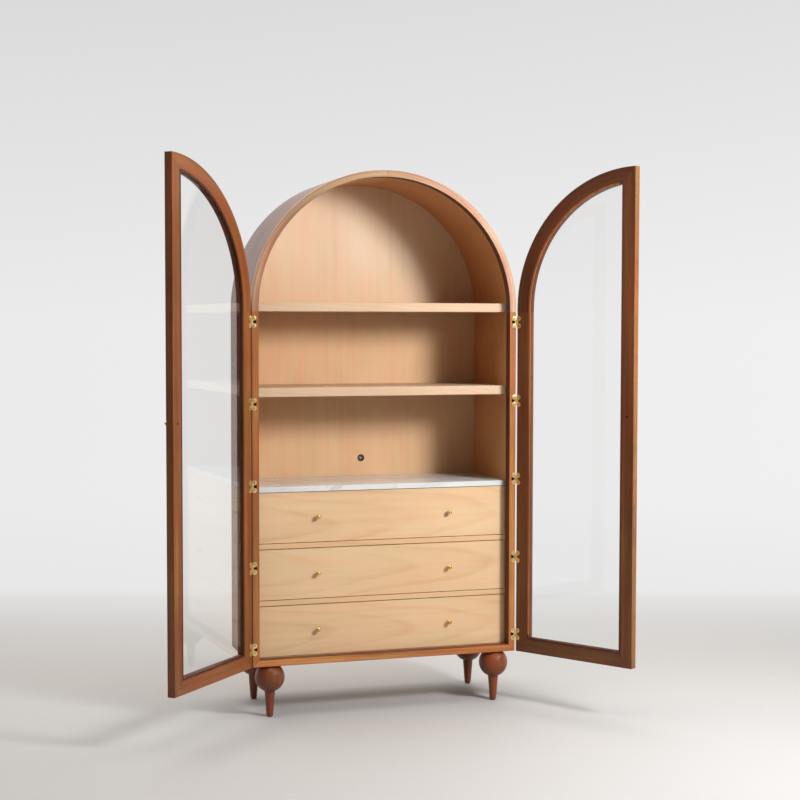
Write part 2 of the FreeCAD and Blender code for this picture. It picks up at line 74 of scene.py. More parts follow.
class Graph:
    """A small helper that builds one procedural material."""

    def __init__(self, name):
        self.mat = bpy.data.materials.new(name)
        self.mat.use_nodes = True
        self.tree = self.mat.node_tree
        self.tree.nodes.clear()
        self.out = self.tree.nodes.new("ShaderNodeOutputMaterial")
        self.shader = self.tree.nodes.new("ShaderNodeBsdfPrincipled")
        self.put(self.out.inputs[0], self.shader.outputs[0])

    def node(self, kind, **settings):
        n = self.tree.nodes.new("ShaderNode" + kind)
        for key, value in settings.items():
            setattr(n, key, value)
        return n

    def put(self, socket, value):
        """Links a socket to another one, or gives it a value."""
        if isinstance(value, bpy.types.NodeSocket):
            self.tree.links.new(value, socket)
        else:
            socket.default_value = value

    def set(self, name, value):
        """Links a socket of the main shader, or gives it a value."""
        self.put(self.shader.inputs[name], value)

    def coords(self):
        return self.node("TexCoord").outputs["Object"]

    def turned(self, vector, angle, pivot):
        """The vector turned back about the vertical axis through a pivot, so that an open door's
        grain runs as on the closed door."""
        pivot = Vector(pivot)
        n = self.node("Mapping", vector_type="POINT")
        self.put(n.inputs["Vector"], vector)
        n.inputs["Rotation"].default_value = (0, 0, -angle)
        n.inputs["Location"].default_value = pivot - Matrix.Rotation(-angle, 3, "Z") @ pivot
        return n.outputs[0]

    def math(self, operation, a, b=0.0, clamp=False):
        n = self.node("Math", operation=operation, use_clamp=clamp)
        self.put(n.inputs[0], a)
        self.put(n.inputs[1], b)
        return n.outputs[0]

    def add(self, a, b, clamp=False):
        return self.math("ADD", a, b, clamp)

    def minus(self, a, b):
        return self.math("SUBTRACT", a, b)

    def times(self, a, b):
        return self.math("MULTIPLY", a, b)

    def larger(self, a, b):
        return self.math("MAXIMUM", a, b)

    def size(self, a):
        return self.math("ABSOLUTE", a)

    def hypot(self, a, b):
        return self.math("POWER", self.add(self.times(a, a), self.times(b, b)), 0.5)

    def parts(self, vector):
        n = self.node("SeparateXYZ")
        self.put(n.inputs[0], vector)
        return n.outputs

    def vector(self, x, y, z):
        n = self.node("CombineXYZ")
        for socket, value in zip(n.inputs, (x, y, z)):
            self.put(socket, value)
        return n.outputs[0]

    def noise(self, vector, scale, detail, roughness, shift=(0, 0, 0)):
        """A noise over a place, with its own scale along each axis."""
        scaled = self.node("Mapping", vector_type="POINT")
        self.put(scaled.inputs["Vector"], vector)
        scaled.inputs["Scale"].default_value = scale
        scaled.inputs["Location"].default_value = shift
        n = self.node("TexNoise")
        self.put(n.inputs["Vector"], scaled.outputs[0])
        n.inputs["Scale"].default_value = 1.0
        n.inputs["Detail"].default_value = detail
        n.inputs["Roughness"].default_value = roughness
        return n.outputs["Fac"]

    def ramp(self, fac, *stops):
        """A colour ramp from (place, colour) stops."""
        n = self.node("ValToRGB")
        self.put(n.inputs[0], fac)
        elements = n.color_ramp.elements
        while len(elements) < len(stops):
            elements.new(0.5)
        for element, (place, colour) in zip(elements, stops):
            element.position = place
            element.color = (*colour, 1.0)
        return n.outputs[0]

    def level(self, fac, low, high, out_low=0.0, out_high=1.0):
        """A number mapped from one range to another, and held at the ends."""
        n = self.node("MapRange")
        for socket, value in zip(n.inputs, (fac, low, high, out_low, out_high)):
            self.put(socket, value)
        return n.outputs[0]

    def mix(self, fac, a, b, blend="MIX"):
        n = self.node("Mix", data_type="RGBA", blend_type=blend)
        self.put(n.inputs[0], fac)
        for socket, value in zip((n.inputs[6], n.inputs[7]), (a, b)):
            self.put(socket, (*value, 1.0) if isinstance(value, tuple) else value)
        return n.outputs[2]

    def tinted(self, colour, tint):
        return self.mix(1.0, colour, tint, "MULTIPLY")

    def bump(self, height, strength, distance):
        n = self.node("Bump")
        n.inputs["Strength"].default_value = strength
        n.inputs["Distance"].default_value = distance
        self.put(n.inputs["Height"], height)
        self.set("Normal", n.outputs[0])

    def blend(self, fac, other):
        """Shows another shader in the main one's place, as far as fac says."""
        n = self.node("MixShader")
        for socket, value in zip(n.inputs, (fac, self.shader.outputs[0], other.outputs[0])):
            self.put(socket, value)
        self.put(self.out.inputs[0], n.outputs[0])


# ---------------------------------------------------------------- woods

HEART = 0.08  # how deep the middle of the tree lies behind a board
PAINTED_EDGE_TINT = (0.34, 0.27, 0.25)  # what an edge darkened as painted shade keeps of the colour

DARK = {
    "pale": (0.430, 0.150, 0.040),
    "base": (0.300, 0.094, 0.023),
    "deep": (0.130, 0.034, 0.009),
    "cool_cast": (1.05, 0.86, 0.80),
    "warm_cast": (1.00, 1.24, 1.16),
    "rough": (0.36, 0.50),
    "rings": 0.26,
    "ring_count": 90.0,
    "fibre": 0.50,
    "cloud": 0.9,
    "gloss": 0.45,
    "bump": 0.14,
}
LIGHT = {
    "pale": (0.650, 0.428, 0.243),
    "base": (0.580, 0.356, 0.185),
    "deep": (0.425, 0.215, 0.090),
    "cool_cast": (1.02, 0.97, 0.96),
    "warm_cast": (0.98, 1.02, 1.00),
    "rough": (0.42, 0.56),
    "rings": 0.26,
    "ring_count": 30.0,
    "fibre": 0.13,
    "cloud": 0.5,
    "gloss": 0.4,
    "bump": 0.08,
}


def toned(look, *tone, **changes):
    """The same wood with its red, green and blue scaled, as by another stain."""
    shades = {}
    for key in ("pale", "base", "deep"):
        shades[key] = tuple(part * scale for part, scale in zip(look[key], tone))
    return {**look, **shades, **changes}


DOOR = toned(DARK, 0.62, 0.56, 0.54, rough=(0.32, 0.46))
# The right door is a darker copy of the left door's wood, as painted shade; its tint makes the
# meeting edge paler as a painted highlight.
SHADED_DOOR = toned(DARK, 0.42, 0.38, 0.35, rough=(0.32, 0.46), faded=(1.48, 1.95, 1.60))
# Its arch rail is darker still, as painted shade.
SHADED_DOOR_ARCH = toned(SHADED_DOOR, 0.66, 0.60, 0.60)
RAIL = toned(DARK, 1.25, 1.40, 1.55)
# The left door's beads are near-black, as painted shade in the glass's rebate.
SHADED_BEAD = toned(DARK, 0.22, 0.17, 0.16, gloss=0.25)
FAR_BEAD = toned(DARK, 0.80, 0.72, 0.70)
# The front arch is paler and pinker than the stiles, as a painted sheen where the key lamp glares
# on it.
PAINTED_SHEEN_ARCH = toned(DARK, 1.20, 1.92, 4.3, rough=(0.30, 0.44))
LEG = toned(DARK, 0.50, 0.38, 0.40, rough=(0.32, 0.44), rings=0.14, fibre=0.34)
SIDE = toned(DARK, 0.44, 0.45, 0.46, rough=(0.22, 0.34), bump=0.08, ring_count=60.0)
SIDE.update(cool_cast=(1.05, 0.94, 0.92), warm_cast=(1.0, 1.06, 1.03))
SHELF = toned(LIGHT, 0.89, 0.98, 1.20, ring_count=60.0, rings=0.2)
# The drawer fronts' edges take a browner painted shade than the frame's edges.
DRAWER = toned(LIGHT, 1.01, 1.06, 1.12, soaked=(0.42, 0.22, 0.12))
BACK = toned(LIGHT, 1.04, 1.04, 1.08, rings=0.07, ring_count=16.0, fibre=0.07, gloss=0.25)
# The back panel's upper part is made paler with this tint, as painted light.
BACK.update(faded=(1.10, 1.31, 1.62))
# The linings are a darker, redder copy of the light wood, as painted shade: the lining in view
# stays in shade.
SHADED_LINING = toned(LIGHT, 0.90, 0.70, 0.55, rings=0.14, gloss=0.25)


def wood(name, look, along, seed, door=None, middle=None, taper=0.05, edges=None, fade=None):
    """Sawn wood with its growth rings, fibres and pores. along is the axis that the grain follows:
    X, Z, or ARC for a piece bent round the arch's centre. middle is the place across the board
    where the rings' points stand, and taper how much they narrow along it. edges(g, x, y, z) gives
    where an edge is darkened as painted shade, and fade(g, x, y, z) where the wood is made paler as
    painted light."""
    g = Graph(name)
    place = g.coords()
    if door:
        place = g.turned(place, REST[door], (SIDES[door] * HINGE_X, HINGE_Y, 0))
    x, y, z = g.parts(place)
    if along == "ARC":
        rise = g.minus(z, SPRING)
        run, side = g.times(g.math("ARCTAN2", x, rise), ARC_RADIUS), g.hypot(x, rise)
    else:
        run, side = {"X": (x, z), "Z": (z, x)}[along]
    grain = g.vector(g.add(run, seed * 3.7), g.add(side, seed * 0.61), g.add(y, seed * 0.23))

    # the growth rings, cut by the board at a slant, which draws pointed arches along the grain
    sway = g.noise(grain, (1.3, 1.6, 1.6), 2.0, 0.4)
    wander = g.noise(grain, (4.0, 16.0, 16.0), 3.0, 0.5)
    across = g.parts(grain)[1] if middle is None else g.minus(side, middle)
    across = g.add(across, g.times(g.minus(sway, 0.5), 0.16))
    radius = g.math("POWER", g.add(g.times(across, across), HEART * HEART), 0.5)
    radius = g.add(radius, g.times(wander, 0.008))
    radius = g.add(radius, g.times(run, taper))
    phase = g.math("FRACT", g.times(radius, look["ring_count"]))
    ring = g.ramp(phase, (0.0, even(0.0)), (0.55, even(0.15)), (0.86, even(1.0)), (1.0, even(0.0)))
    faint = g.level(g.noise(grain, (2.0, 7.0, 7.0), 2.0, 0.5, (5, 0, 0)), 0.3, 0.7, 0.25, 1.0)

    # fibres and pores, drawn out along the grain, and clouds of lighter, darker and warmer wood
    fibre = g.noise(grain, (9.0, 420.0, 420.0), 4.0, 0.62)
    streak = g.noise(grain, (1.4, 52.0, 52.0), 4.0, 0.6)
    pore = g.level(g.noise(grain, (110.0, 1000.0, 1000.0), 1.0, 0.5), 0.63, 0.72)
    cloud = g.noise(grain, (2.6, 6.0, 6.0), 3.0, 0.5)
    warmth = g.level(g.noise(grain, (3.6, 19.0, 19.0), 3.0, 0.55, (9, 0, 0)), 0.36, 0.64)

    tone = g.times(g.times(ring, faint), look["rings"])
    tone = g.add(tone, g.level(streak, 0.34, 0.66, -0.45 * look["fibre"], 0.55 * look["fibre"]))
    tone = g.add(tone, g.times(g.minus(fibre, 0.5), look["fibre"]))
    tone = g.add(tone, g.times(g.minus(cloud, 0.5), look["cloud"]))
    tone = g.add(tone, 0.40 - look["rings"] * 0.3, clamp=True)
    colour = g.ramp(tone, (0.0, look["pale"]), (0.42, look["base"]), (1.0, look["deep"]))
    cast = g.ramp(warmth, (0.0, look["cool_cast"]), (0.5, even(1.0)), (1.0, look["warm_cast"]))
    colour = g.tinted(colour, cast)
    colour = g.mix(g.times(pore, look["fibre"] * 0.7), colour, look["deep"])
    # painted light: the wood is made paler where the mask says, by the look's tint
    if fade:
        colour = g.mix(fade(g, x, y, z), colour, g.tinted(colour, look["faded"]))
    matt = g.level(g.add(fibre, g.times(pore, 0.4)), 0.3, 0.9, *look["rough"])
    # painted shade: the edges that the mask gives are darkened and made duller
    if edges:
        soaked = edges(g, x, y, z)
        matt = g.add(matt, g.times(soaked, 0.4), clamp=True)
        colour = g.mix(soaked, colour, g.tinted(colour, look.get("soaked", PAINTED_EDGE_TINT)))
    g.set("Base Color", colour)
    g.set("Roughness", matt)
    g.set("IOR", 1.5)
    g.set("Specular IOR Level", look["gloss"])
    g.bump(g.minus(g.times(fibre, 0.6), pore), look["bump"], 0.0006)
    return g.mat


def arch_reach(g, x, z):
    """How far a point lies from the arch's centre or, below the arch, from the middle plane."""
    return g.hypot(x, g.larger(g.minus(z, SPRING), 0.0))


def inside(g, x, z, across, low, meeting=None):
    """1 in an arched opening and on the edge that faces it, from the opening's half width, its low
    side and, for a door's, the side where the doors meet."""
    wood_side, open_side = 0.0009, 0.0004
    within = g.level(arch_reach(g, x, z), across + wood_side, across + open_side)
    within = g.times(within, g.level(z, low - wood_side, low - open_side))
    if meeting is None:
        return within
    return g.times(within, g.level(g.size(x), meeting - wood_side, meeting - open_side))


def frame_shade_mask(g, x, y, z):
    """The front frame's inner edge, and its outer edge beside the doors, darkened as painted shade.
    """
    outer = g.times(g.level(arch_reach(g, x, z), 0.5344, 0.5348), g.level(z, SPRING + 0.05, SPRING))
    return g.larger(inside(g, x, z, 0.509, 0.229), outer)


def door_shade_mask(g, x, y, z):
    """The edge of a door's frame that faces its glass, darkened as painted shade."""
    return inside(g, x, z, 0.475, 0.263, 0.0585)


def bead_shade_mask(g, x, y, z):
    """The glazing beads along a door's meeting stile and bottom rail, darkened as painted shade."""
    return g.larger(g.level(g.size(x), 0.0705, 0.0695), g.level(z, 0.2755, 0.2745))


def drawer_shade_mask(low):
    """The eased edges round the face of a drawer's front with its underside at a height, darkened
    as painted shade in the gaps.
    """

    def edges(g, x, y, z):
        rise = g.level(g.size(g.minus(z, low + 0.097833)), 0.0969, 0.0973)
        rim = g.larger(rise, g.level(g.size(x), 0.5061, 0.5065))
        return g.times(rim, g.level(y, 0.0480, 0.0458))

    return edges


def arch_painted_light(g, x, y, z):
    """The back panel's upper part, inside the arch, made paler as painted light."""
    return g.level(z, 1.45, 1.80)


def meeting_painted_highlight(g, x, y, z):
    """The edge of a door where it meets the other door, made paler as a painted highlight."""
    return g.level(g.size(x), 0.0024, 0.0019)


# ---------------------------------------------------------------- other materials


def marble():
    """White marble with slanted grey veins and fine crooked ones."""
    g = Graph("marble")
    place = g.coords()
    warp = g.noise(place, (3.0, 4.5, 4.5), 4.0, 0.55)
    x, y, z = g.parts(place)
    bent = g.add(g.add(x, g.times(y, 1.7)), g.times(warp, 0.9))
    wave = g.size(g.minus(g.math("FRACT", g.times(bent, 2.3)), 0.5))
    vein = g.level(wave, 0.0, 0.055, 1.0, 0.0)
    fine_warp = g.noise(place, (8.0, 12.0, 12.0), 5.0, 0.6, (3, 1, 2))
    fine = g.level(g.size(g.minus(fine_warp, 0.5)), 0.0, 0.018, 1.0, 0.0)
    cloud = g.noise(place, (2.4, 3.2, 3.2), 4.0, 0.55, (1, 5, 0))
    dim, pale, dull = (0.490, 0.490, 0.470), (0.590, 0.590, 0.565), (0.43, 0.43, 0.42)
    colour = g.ramp(cloud, (0.3, dim), (0.55, pale), (0.8, dull))
    strength = g.times(vein, g.level(cloud, 0.35, 0.65, 0.15, 0.6))
    colour = g.mix(strength, colour, (0.27, 0.275, 0.28))
    colour = g.mix(g.times(fine, 0.3), colour, even(0.33))
    grit = g.noise(place, even(900.0), 2.0, 0.5)
    g.set("Base Color", colour)
    g.set("Roughness", g.level(g.add(grit, vein), 0.3, 1.6, 0.16, 0.3))
    g.set("IOR", 1.52)
    g.bump(grit, 0.04, 0.0003)
    return g.mat


def metal(name, colour, dull, rough, scale, stretch=(1.0, 1.0, 1.0)):
    """Metal with fine marks, a slight stain and uneven polish."""
    g = Graph(name)
    place = g.coords()
    marks = g.noise(place, tuple(scale * s for s in stretch), 4.0, 0.6)
    stain = g.noise(place, even(38.0), 3.0, 0.55, (2, 0, 1))
    g.set("Base Color", g.mix(g.level(stain, 0.4, 0.75), colour, dull))
    g.set("Roughness", g.level(g.add(marks, stain), 0.7, 1.3, *rough))
    g.set("Metallic", 1.0)
    g.bump(marks, 0.05, 0.0002)
    return g.mat


def glass():
    """Clear sheet glass that lets the lamps through."""
    g = Graph("clear_glass")
    place = g.coords()
    wavy = g.noise(place, (1.6, 1.6, 0.9), 1.0, 0.4)
    dust = g.noise(place, even(60.0), 5.0, 0.65)
    g.set("Base Color", (0.985, 0.995, 0.99, 1.0))
    g.set("Transmission Weight", 1.0)
    g.set("IOR", 1.46)
    g.set("Roughness", g.level(dust, 0.55, 0.8, 0.0, 0.03))
    g.bump(wavy, 0.02, 0.001)
    clear = g.node("BsdfTransparent")
    clear.inputs[0].default_value = (0.93, 0.94, 0.935, 1.0)
    g.blend(g.node("LightPath").outputs["Is Shadow Ray"], clear)
    return g.mat


def plastic(name, shade, gloss=0.5, tint=(1.0, 1.0, 1.0)):
    """Moulded plastic or rubber with a fine grain."""
    g = Graph(name)
    grain = g.noise(g.coords(), even(1500.0), 2.0, 0.5)
    dim, bright = (tuple(shade * level * t for t in tint) for level in (0.6, 1.1))
    g.set("Base Color", g.ramp(grain, (0.3, dim), (0.7, bright)))
    g.set("Roughness", g.level(grain, 0.3, 0.7, 0.42, 0.6))
    g.set("Specular IOR Level", gloss)
    g.bump(grain, 0.2, 0.0002)
    return g.mat


def studio():
    """Pale studio paper that glows as painted light away from the cabinet: behind it from close by,
    and all round further out, brightly on the far side and dimmer and warmer in front.
    """
    g = Graph("studio_paper")
    place = g.coords()
    x, y, z = g.parts(place)
    away_x, away_y = 0.2985, 0.9544  # the way from the photograph's viewpoint to the cabinet
    away = g.add(g.times(x, away_x), g.times(y, away_y))
    beside = g.minus(g.times(x, away_y), g.times(y, away_x))
    mottle = g.noise(place, even(0.7), 3.0, 0.5)
    g.set("Base Color", g.mix(mottle, (0.390, 0.373, 0.356), (0.404, 0.387, 0.370)))
    g.set("Roughness", 0.7)
    g.set("Specular IOR Level", 0.25)
    near, middle = (0.31, 0.283, 0.255), (0.46, 0.43, 0.395)
    depth = g.level(away, -7.0, 7.0)
    shade = g.ramp(depth, (0.0, near), (0.45, middle), (0.70, even(0.83)), (1.0, even(0.87)))
    fall = g.times(g.level(z, 1.5, 5.0, 1.0, 0.82), g.level(beside, -3.8, 3.8, 0.95, 1.005))
    glow = g.node("Emission")
    g.put(glow.inputs["Color"], shade)
    g.put(glow.inputs["Strength"], fall)
    # painted light: the floor glows more and more from just behind the cabinet, with a soft
    # brighter band where it meets the backdrop
    spread = g.times(g.level(away, 0.4, 2.2), 0.84)
    line = g.times(g.level(away, 2.52, 2.72), 0.16)
    far = g.larger(g.add(spread, line), g.level(g.hypot(x, y), 2.8, 5.6))
    g.blend(far, glow)
    return g.mat


brass = metal("polished_brass", (0.96, 0.67, 0.25), (0.70, 0.45, 0.15), (0.10, 0.26), 700.0)
satin_brass = metal("satin_brass", (1.00, 0.74, 0.34), (0.82, 0.56, 0.23), (0.26, 0.42), 700.0)
aged_brass = metal("screw_brass", (0.92, 0.66, 0.30), (0.62, 0.42, 0.17), (0.22, 0.38), 900.0)
zinc_shades = (0.62, 0.62, 0.63), (0.45, 0.45, 0.44)
zinc = metal("zinc_plated_steel", *zinc_shades, (0.24, 0.42), 300.0, (0.2, 1.0, 1.0))
dark_steel = metal("dark_steel", (0.12, 0.11, 0.10), (0.07, 0.065, 0.06), (0.35, 0.5), 600.0)
# near-black: a painted shadow in the hinge notches, and the door knobs' screws drawn dark all over
dark_recess_and_shadow = plastic("dark_recess_and_shadow", 0.006, 0.02, (1.6, 0.8, 0.45))
clear_glass = glass()
white_marble = marble()
black_plastic = plastic("black_plastic", 0.03)
brown_rubber = plastic("brown_rubber", 0.035, 0.02, (1.7, 0.80, 0.42))


# ---------------------------------------------------------------- meshes


def mesh_object(name, bm, materials):
    """Makes an object of a bmesh, smooth but for its sharper edges. A bevel gives its faces in
    another order in each run, so they are put in the order of their corners first."""
    bm.verts.index_update()
    ordered = sorted(bm.faces, key=lambda face: [v.index for v in face.verts])
    places = {face: n for n, face in enumerate(ordered)}
    bm.faces.sort(key=lambda face: places[face])
    bmesh.ops.recalc_face_normals(bm, faces=bm.faces)
    mesh = bpy.data.meshes.new(name)
    bm.to_mesh(mesh)
    bm.free()
    mesh.shade_smooth()
    mesh.set_sharp_from_angle(angle=math.radians(32))
    for material in materials:
        mesh.materials.append(material)
    obj = bpy.data.objects.new(name, mesh)
    scene.collection.objects.link(obj)
    return obj


def new_object(name, bm, materials, body):
    """Makes an object of a bmesh that rides on a body."""
    obj = mesh_object(name, bm, materials)
    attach(obj, body)
    return obj


def arc(x, z, radius, angles):
    """Points on a circle about (x, z), at some angles."""
    return [(x + radius * math.cos(a), z + radius * math.sin(a)) for a in angles]


def lathe(bm, profile, base, axis, segments, material=0, capped=True):
    """Adds a turned form to a bmesh, from (radius, distance) points along an axis from a base."""
    base, axis = Vector(base), Vector(axis).normalized()
    across = axis.orthogonal().normalized()
    beside = axis.cross(across)
    turns = [math.tau * k / segments for k in range(segments)]
    spokes = [across * math.cos(a) + beside * math.sin(a) for a in turns]
    rings = []
    for radius, distance in profile:
        centre = base + axis * distance
        if radius < 1e-7:
            rings.append([bm.verts.new(centre)])
        else:
            rings.append([bm.verts.new(centre + spoke * radius) for spoke in spokes])
    faces = []
    for lower, upper in zip(rings, rings[1:]):
        for k in range(segments):
            j = (k + 1) % segments
            if len(lower) == 1:
                corners = (lower[0], upper[j], upper[k])
            elif len(upper) == 1:
                corners = (lower[k], lower[j], upper[0])
            else:
                corners = (lower[k], lower[j], upper[j], upper[k])
            faces.append(bm.faces.new(corners))
    for ring in (rings[0], rings[-1]):
        if capped and len(ring) > 1:
            faces.append(bm.faces.new(ring))
    for face in faces:
        face.material_index = material
    return [v for ring in rings for v in ring]


def rounded_corner(profile, radius, steps=4):
    """Points of a profile with each inner corner cut back by a small arc."""
    points = [Vector(p) for p in profile]
    out = [points[0]]
    for before, at, after in zip(points, points[1:], points[2:]):
        reach = min(radius, (at - before).length * 0.45, (after - at).length * 0.45)
        start = at + (before - at).normalized() * reach
        end = at + (after - at).normalized() * reach
        for n in range(steps + 1):
            t = n / steps
            out.append(start * (1 - t) ** 2 + at * 2 * t * (1 - t) + end * t**2)
    out.append(points[-1])
    return [tuple(p) for p in out]


def rod(bm, radius, low, high, ease, base, axis, segments):
    """Adds a round rod with eased ends, between two distances along an axis from a base."""
    profile = [(0.0001, low), (radius, low), (radius, high), (0.0001, high)]
    return lathe(bm, rounded_corner(profile, ease), base, axis, segments)


def plate(bm, outline, low, high, bevel):
    """Adds a flat plate to a bmesh: an outline of (x, z) points, from one y to another."""
    verts = [bm.verts.new((x, low, z)) for x, z in outline]
    made = bmesh.ops.extrude_face_region(bm, geom=[bm.faces.new(verts)])["geom"]
    top = [v for v in made if isinstance(v, bmesh.types.BMVert)]
    bmesh.ops.translate(bm, verts=top, vec=(0, high - low, 0))
    faces = {f for v in verts + top for f in v.link_faces}
    edges = {e for f in faces for e in f.edges}
    flat = [e for e in edges if abs(e.verts[0].co.y - e.verts[1].co.y) < 1e-9]
    rim = [e for e in flat if len(e.link_faces) == 2]
    made = bmesh.ops.bevel(bm, geom=rim, offset=bevel, segments=2, profile=0.6, affect="EDGES")
    faces = {f for v in made["verts"] for f in v.link_faces} | {f for f in faces if f.is_valid}
    return {v for f in faces for v in f.verts}


def moved(verts, matrix):
    for v in verts:
        v.co = matrix @ v.co


# ---------------------------------------------------------------- carried-over boards


def dress(name, material, bevel=0.0008, segments=2, eased=True):
    """Gives a CAD node its material, eased edges and soft shading."""
    obj = nodes[name]
    obj.data.materials.clear()
    obj.data.materials.append(material)
    if not eased:
        return
    obj.data.shade_smooth()
    weld = obj.modifiers.new("weld", "WELD")
    weld.merge_threshold = 2e-6
    ease = obj.modifiers.new("eased_edges", "BEVEL")
    ease.width = bevel
    ease.segments = segments
    ease.limit_method = "ANGLE"
    ease.angle_limit = math.radians(40)
    ease.profile = 0.6
    ease.miter_outer = "MITER_ARC"
    even_shading = obj.modifiers.new("even_shading", "WEIGHTED_NORMAL")
    even_shading.mode = "FACE_AREA_WITH_ANGLE"
    even_shading.weight = 80
    even_shading.keep_sharp = False


def dress_door(hand, piece, wood_name, look, along, seed, bevel=0.0014, **marks):
    """Dresses a door's board in wood whose grain turns with the door."""
    material = wood(f"{hand}_{wood_name}", look, along, seed, hand, **marks)
    dress(f"{hand}_door_{piece}", material, bevel)


dress("left_side_board", wood("side_wood_left", SIDE, "Z", 1.3))
dress("right_side_board", wood("side_wood_right", SIDE, "Z", 2.1))
dress("arch_board", wood("arch_wood", SIDE, "ARC", 3.2))
dress("left_side_lining", wood("lining_wood_left", SHADED_LINING, "Z", 4.4))
dress("right_side_lining", wood("lining_wood_right", SHADED_LINING, "Z", 5.9))
dress("arch_lining", wood("lining_wood_arch", SHADED_LINING, "ARC", 6.3))
dress("bottom_board", wood("bottom_wood", LIGHT, "X", 7.7))
dress("back_panel", wood("back_wood", BACK, "Z", 8.2, fade=arch_painted_light))
dress("bottom_front_rail", wood("rail_wood", RAIL, "X", 9.1, edges=frame_shade_mask), 0.0012)
dress("left_front_stile", wood("stile_wood_left", DARK, "Z", 10.6, edges=frame_shade_mask), 0.0012)
dress("right_front_stile", wood("stile_wood_right", DARK, "Z", 11.8, edges=frame_shade_mask), 0.0012)
front_arch = wood("front_arch_wood", PAINTED_SHEEN_ARCH, "ARC", 12.4, edges=frame_shade_mask)
dress("left_front_arch", front_arch, 0.0012)
dress("right_front_arch", front_arch, 0.0012)
dress("upper_shelf", wood("upper_shelf_wood", SHELF, "X", 13.5), 0.0010)
dress("middle_shelf", wood("middle_shelf_wood", SHELF, "X", 14.2), 0.0010)
dress("marble_slab", white_marble, 0.0015, 3)
dress("drawer_deck", wood("deck_wood", LIGHT, "X", 15.7))
dress("divider_rails", wood("divider_wood", LIGHT, "X", 16.9))
dress("slide_channels", zinc, 0.0003)
dress("leg_plates", zinc, 0.0005)

# The left door's edges by the glass and the right door's beads get painted shade, and the right
# door's meeting edge a painted highlight.
for hand in SIDES:
    if hand == "left":
        seed, look, arch, bead = 20.0, DOOR, DOOR, SHADED_BEAD
        hinge_side, beads, paler = door_shade_mask, None, None
    else:
        seed, look, arch, bead = 30.0, SHADED_DOOR, SHADED_DOOR_ARCH, FAR_BEAD
        hinge_side, beads, paler = None, bead_shade_mask, meeting_painted_highlight
    meeting = {"edges": door_shade_mask, "fade": paler}
    dress_door(hand, "hinge_stile", "hinge_stile_wood", look, "Z", seed + 1.2, edges=hinge_side)
    dress_door(hand, "meeting_stile", "meeting_stile_wood", look, "Z", seed + 2.7, **meeting)
    dress_door(hand, "bottom_rail", "bottom_rail_wood", look, "X", seed + 3.4, edges=door_shade_mask)
    dress_door(hand, "arch_rail", "arch_rail_wood", arch, "ARC", seed + 4.9, edges=hinge_side)
    dress_door(hand, "glazing_beads", "bead_wood", bead, "Z", seed + 5.3, 0.0010, edges=beads)
    dress(hand + "_door_glass", clear_glass, eased=False)

for n in DRAWER_LOWS:
    rings = {"middle": 0.99 - 0.2197 * n, "taper": 0.1}
    # rim: painted shade on the eased edges of the drawer's front
    rim = drawer_shade_mask(0.89 - 0.21967 * n)
    front = wood(f"drawer_{n}_front_wood", DRAWER, "X", 40.0 + 2.3 * n, edges=rim, **rings)
    dress(f"drawer_{n}_front", front, 0.0012)
    dress(f"drawer_{n}_box", wood(f"drawer_{n}_box_wood", LIGHT, "X", 50.0 + 1.7 * n))
    dress(f"drawer_{n}_runners", zinc, 0.0003)


# ---------------------------------------------------------------- legs, glides and pegs

# A leg is a ball on a neck and a tapered foot. The ball is cut off flat under the mounting plate.
BALL_RADIUS, BALL_HEIGHT = 0.0575, 0.154
top_angle = math.acos(34.5 / 57.5)
neck_angle = -math.acos(20.5 / 57.5)
ball_angles = [neck_angle + (top_angle - neck_angle) * n / 40 for n in range(41)]
leg_profile = [(0.0100, 0.0030), (0.0112, 0.0033), (0.0122, 0.0042), (0.0128, 0.0052)]
for t in (0.0, 0.02, 0.25, 0.5, 0.75, 0.98):
    leg_profile.append((0.0130 + 0.0075 * t, 0.006 + (0.1003 - 0.006) * t))
leg_profile += arc(0, BALL_HEIGHT, BALL_RADIUS, ball_angles)
for count, (name, (x, y)) in enumerate(LEG_PLACES.items()):
    bm = bmesh.new()
    lathe(bm, leg_profile, (x, y, 0), UP, 96)
    leg_wood = wood(name + "_wood", LEG, "Z", 60.0 + 1.9 * count)
    leg = new_object(name + "_turned", bm, [leg_wood], "carcass")
    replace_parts(leg, name)

bm = bmesh.new()
for x, y in LEG_PLACES.values():
    rod(bm, 0.0096, 0.0, 0.003, 0.0009, (x, y, 0), UP, 48)
glides = new_object("foot_glides", bm, [black_plastic], "carcass")
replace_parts(glides, "leg_glides")

PEG_RADIUS, PEG_LENGTH = 0.0029, 0.0199
bm = bmesh.new()
for level in SHELF_UNDERSIDES:
    for y in (0.094, 0.361):
        for side in SIDES.values():
            base = (side * 0.517, y, level - PEG_RADIUS)
            rod(bm, PEG_RADIUS, 0.0, PEG_LENGTH, 0.0007, base, (-side, 0, 0), 24)
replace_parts(new_object("round_shelf_pegs", bm, [zinc], "carcass"), "shelf_pegs")


# ---------------------------------------------------------------- knobs

KNOB_LENGTH = 0.0239


def knob(bm, spot, head_radius):
    """A turned brass knob: a collar, a waisted neck and a round head."""
    profile = [(0.0001, 0.0), (0.0060, 0.0), (0.0060, 0.0011), (0.0056, 0.0015), (0.0042, 0.0026)]
    profile += [(0.0037, 0.0040), (0.0036, 0.0054), (0.0038, 0.0066)]
    head = [math.radians(-62 + 150 * n / 20) for n in range(21)]
    profile += arc(0, KNOB_LENGTH - head_radius, head_radius, head)
    lathe(bm, profile + [(0.0, KNOB_LENGTH)], spot, FRONTWARDS, 48)


for n, low in DRAWER_LOWS.items():
    bm = bmesh.new()
    for side in SIDES.values():
        knob(bm, (side * 0.268, DRAWER_FACE, low + DRAWER_HEIGHT / 2), 0.0090)
    pair = new_object(f"drawer_{n}_brass_knobs", bm, [brass], f"drawer_{n}")
    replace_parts(pair, f"drawer_{n}_knobs")


# ---------------------------------------------------------------- butterfly hinges

